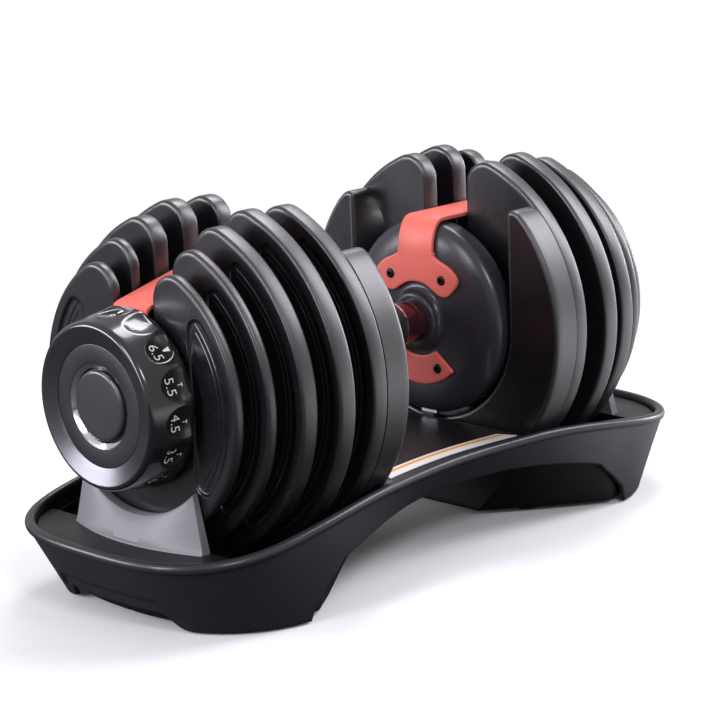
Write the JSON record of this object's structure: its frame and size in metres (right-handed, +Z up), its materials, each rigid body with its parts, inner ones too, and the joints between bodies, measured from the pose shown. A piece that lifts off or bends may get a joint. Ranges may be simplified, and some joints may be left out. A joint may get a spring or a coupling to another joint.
{
  "type": "adjustable dumbbell with tray",
  "caption": "Adjustable dumbbell in a moulded storage tray: numbered end dials hook slotted plates onto the handle, coral brackets over the plates.",
  "frame": {"origin": "centre of the tray's footprint, on the floor", "axes": "+X along the handle towards the right dial, +Z up, -Y towards the side with the white strip"},
  "size_m": [0.4292, 0.201, 0.2137],
  "materials": {
    "tray_plastic": "satin moulded",
    "deck_plastic": "matte moulded",
    "panel_plastic": "fine grained",
    "strip_label": "satin",
    "foot_rubber": "matte",
    "tube_steel": "turned",
    "grip_rubber": "satin",
    "ring_chrome": "polished",
    "collar_red": "satin",
    "bush_bronze": "machined",
    "cover_plastic": "satin moulded",
    "bracket_red": "satin powder coat",
    "screw_black": "black oxide",
    "shaft_steel": "ground",
    "wheel_steel": "stamped",
    "disc_steel": "blackened",
    "dial_plastic": "gloss",
    "dial_ring_grey": "satin",
    "dial_cap_black": "satin",
    "slide_steel": "stamped",
    "spring_steel": "drawn wire",
    "plate_iron": "black coated, satin"
  },
  "bodies": {
    "tray": {"tray_shell": "tray_plastic", "tray_deck": "deck_plastic", "left_well": "deck_plastic", "right_well": "deck_plastic", "left_rack": "deck_plastic", "right_rack": "deck_plastic", "left_end_panel": "panel_plastic", "right_end_panel": "panel_plastic", "tray_feet": "foot_rubber", "unlock_pads": "deck_plastic", "deck_strip": "strip_label"},
    "handle": {"handle_tube": "tube_steel", "grip_sleeve": "grip_rubber", "grip_rings": "ring_chrome", "tube_collars": "collar_red", "shaft_bushes": "bush_bronze", "left_cover": "cover_plastic", "right_cover": "cover_plastic", "left_bracket": "bracket_red", "right_bracket": "bracket_red", "left_lower_flange": "bracket_red", "right_lower_flange": "bracket_red", "flange_screws": "screw_black", "left_lock_spring": "spring_steel", "right_lock_spring": "spring_steel"},
    "left_selector": {"left_shaft": "shaft_steel", "left_lock_wheel": "wheel_steel", "left_disc_1": "disc_steel", "left_disc_2": "disc_steel", "left_disc_3": "disc_steel", "left_disc_4": "disc_steel", "left_disc_5": "disc_steel", "left_dial": "dial_plastic", "left_dial_ring": "dial_ring_grey", "left_dial_cap": "dial_cap_black", "left_dial_screw": "shaft_steel"},
    "left_slide": {"left_lock_slide": "slide_steel"},
    "left_weight_1": {"left_plate_1": "plate_iron"},
    "left_weight_2": {"left_plate_2": "plate_iron"},
    "left_weight_3": {"left_plate_3": "plate_iron"},
    "left_weight_4": {"left_plate_4": "plate_iron"},
    "left_weight_5": {"left_plate_5": "plate_iron"},
    "right_selector": {"right_shaft": "shaft_steel", "right_lock_wheel": "wheel_steel", "right_disc_1": "disc_steel", "right_disc_2": "disc_steel", "right_disc_3": "disc_steel", "right_disc_4": "disc_steel", "right_disc_5": "disc_steel", "right_dial": "dial_plastic", "right_dial_ring": "dial_ring_grey", "right_dial_cap": "dial_cap_black", "right_dial_screw": "shaft_steel"},
    "right_slide": {"right_lock_slide": "slide_steel"},
    "right_weight_1": {"right_plate_1": "plate_iron"},
    "right_weight_2": {"right_plate_2": "plate_iron"},
    "right_weight_3": {"right_plate_3": "plate_iron"},
    "right_weight_4": {"right_plate_4": "plate_iron"},
    "right_weight_5": {"right_plate_5": "plate_iron"}
  },
  "joints": [
    {"name": "handle_lift", "type": "slide", "parent": "tray", "child": "handle", "axis": [0, 0, 1], "range_m": [0, 0.25]},
    {"name": "left_dial_turn", "type": "hinge", "parent": "handle", "child": "left_selector", "pos_m": [0, 0, 0.119], "axis": [1, 0, 0], "continuous": true},
    {"name": "left_lock", "type": "slide", "parent": "handle", "child": "left_slide", "axis": [0, 0, 1], "range_m": [-0.0025, 0], "deforming": ["left_lock_spring"]},
    {"name": "left_plate_1_lift", "type": "slide", "parent": "tray", "child": "left_weight_1", "axis": [0, 0, 1], "range_m": [0, 0.0025]},
    {"name": "left_plate_2_lift", "type": "slide", "parent": "tray", "child": "left_weight_2", "axis": [0, 0, 1], "range_m": [0, 0.25]},
    {"name": "left_plate_3_lift", "type": "slide", "parent": "tray", "child": "left_weight_3", "axis": [0, 0, 1], "range_m": [0, 0.0025]},
    {"name": "left_plate_4_lift", "type": "slide", "parent": "tray", "child": "left_weight_4", "axis": [0, 0, 1], "range_m": [0, 0.25]},
    {"name": "left_plate_5_lift", "type": "slide", "parent": "tray", "child": "left_weight_5", "axis": [0, 0, 1], "range_m": [0, 0.0025]},
    {"name": "right_dial_turn", "type": "hinge", "parent": "handle", "child": "right_selector", "pos_m": [0, 0, 0.119], "axis": [1, 0, 0], "continuous": true},
    {"name": "right_lock", "type": "slide", "parent": "handle", "child": "right_slide", "axis": [0, 0, 1], "range_m": [-0.0025, 0], "deforming": ["right_lock_spring"]},
    {"name": "right_plate_1_lift", "type": "slide", "parent": "tray", "child": "right_weight_1", "axis": [0, 0, 1], "range_m": [0, 0.0025]},
    {"name": "right_plate_2_lift", "type": "slide", "parent": "tray", "child": "right_weight_2", "axis": [0, 0, 1], "range_m": [0, 0.25]},
    {"name": "right_plate_3_lift", "type": "slide", "parent": "tray", "child": "right_weight_3", "axis": [0, 0, 1], "range_m": [0, 0.0025]},
    {"name": "right_plate_4_lift", "type": "slide", "parent": "tray", "child": "right_weight_4", "axis": [0, 0, 1], "range_m": [0, 0.25]},
    {"name": "right_plate_5_lift", "type": "slide", "parent": "tray", "child": "right_weight_5", "axis": [0, 0, 1], "range_m": [0, 0.0025]}
  ],
  "couplings": [
    {"joint": "left_lock", "follows": "handle_lift", "ratio": -0.01},
    {"joint": "left_plate_2_lift", "follows": "handle_lift", "ratio": 1},
    {"joint": "left_plate_4_lift", "follows": "handle_lift", "ratio": 1},
    {"joint": "right_lock", "follows": "handle_lift", "ratio": -0.01},
    {"joint": "right_plate_2_lift", "follows": "handle_lift", "ratio": 1},
    {"joint": "right_plate_4_lift", "follows": "handle_lift", "ratio": 1}
  ]
}
